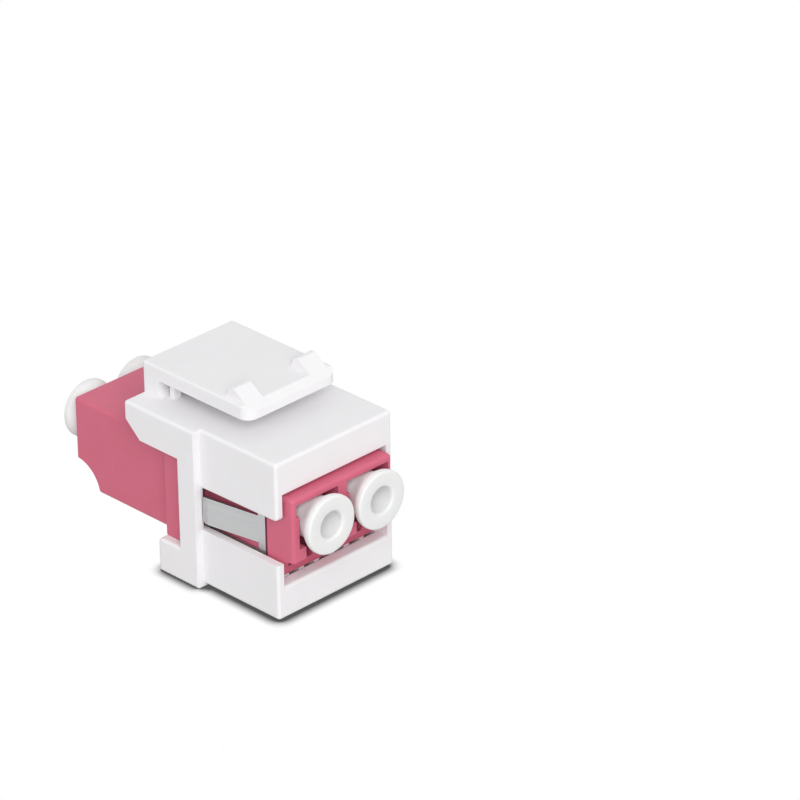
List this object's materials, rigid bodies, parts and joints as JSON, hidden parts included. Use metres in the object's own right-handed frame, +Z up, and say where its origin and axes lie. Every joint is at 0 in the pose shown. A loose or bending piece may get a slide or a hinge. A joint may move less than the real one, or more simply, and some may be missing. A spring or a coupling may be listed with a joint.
{
  "type": "duplex fibre keystone coupler",
  "caption": "Keystone frame with a spring lever over its roof, holding a coloured duplex fibre adapter by a steel clip; round dust caps close the ports.",
  "frame": {"origin": "bottom centre of the bounding box: the foot's underside, midway along the adapter, on the symmetry plane", "axes": "+X to the right seen from the front, -Y towards the front face that shows at the panel, +Z up towards the lever"},
  "size_m": [0.0162, 0.0326, 0.0202],
  "materials": {
    "frame_plastic": "moulded white plastic, fine satin",
    "adapter_plastic": "moulded rose plastic, satin",
    "clip_steel": "rolled spring steel, satin",
    "sleeve_ceramic": "polished white ceramic",
    "cap_plastic": "soft white plastic, slightly milky"
  },
  "bodies": {
    "coupler": {"keystone_frame": "frame_plastic", "adapter_front": "adapter_plastic", "adapter_rear": "adapter_plastic", "spring_clip": "clip_steel", "split_sleeve_left": "sleeve_ceramic", "split_sleeve_right": "sleeve_ceramic"},
    "cap_front_left": {"dust_cap_front_left": "cap_plastic"},
    "cap_front_right": {"dust_cap_front_right": "cap_plastic"},
    "cap_rear_left": {"dust_cap_rear_left": "cap_plastic"},
    "cap_rear_right": {"dust_cap_rear_right": "cap_plastic"}
  },
  "joints": [
    {"name": "pull_cap_front_left", "type": "slide", "parent": "coupler", "child": "cap_front_left", "axis": [0, -1, 0], "range_m": [0, 0.012]},
    {"name": "pull_cap_front_right", "type": "slide", "parent": "coupler", "child": "cap_front_right", "axis": [0, -1, 0], "range_m": [0, 0.012]},
    {"name": "pull_cap_rear_left", "type": "slide", "parent": "coupler", "child": "cap_rear_left", "axis": [0, 1, 0], "range_m": [0, 0.012]},
    {"name": "pull_cap_rear_right", "type": "slide", "parent": "coupler", "child": "cap_rear_right", "axis": [0, 1, 0], "range_m": [0, 0.012]}
  ]
}
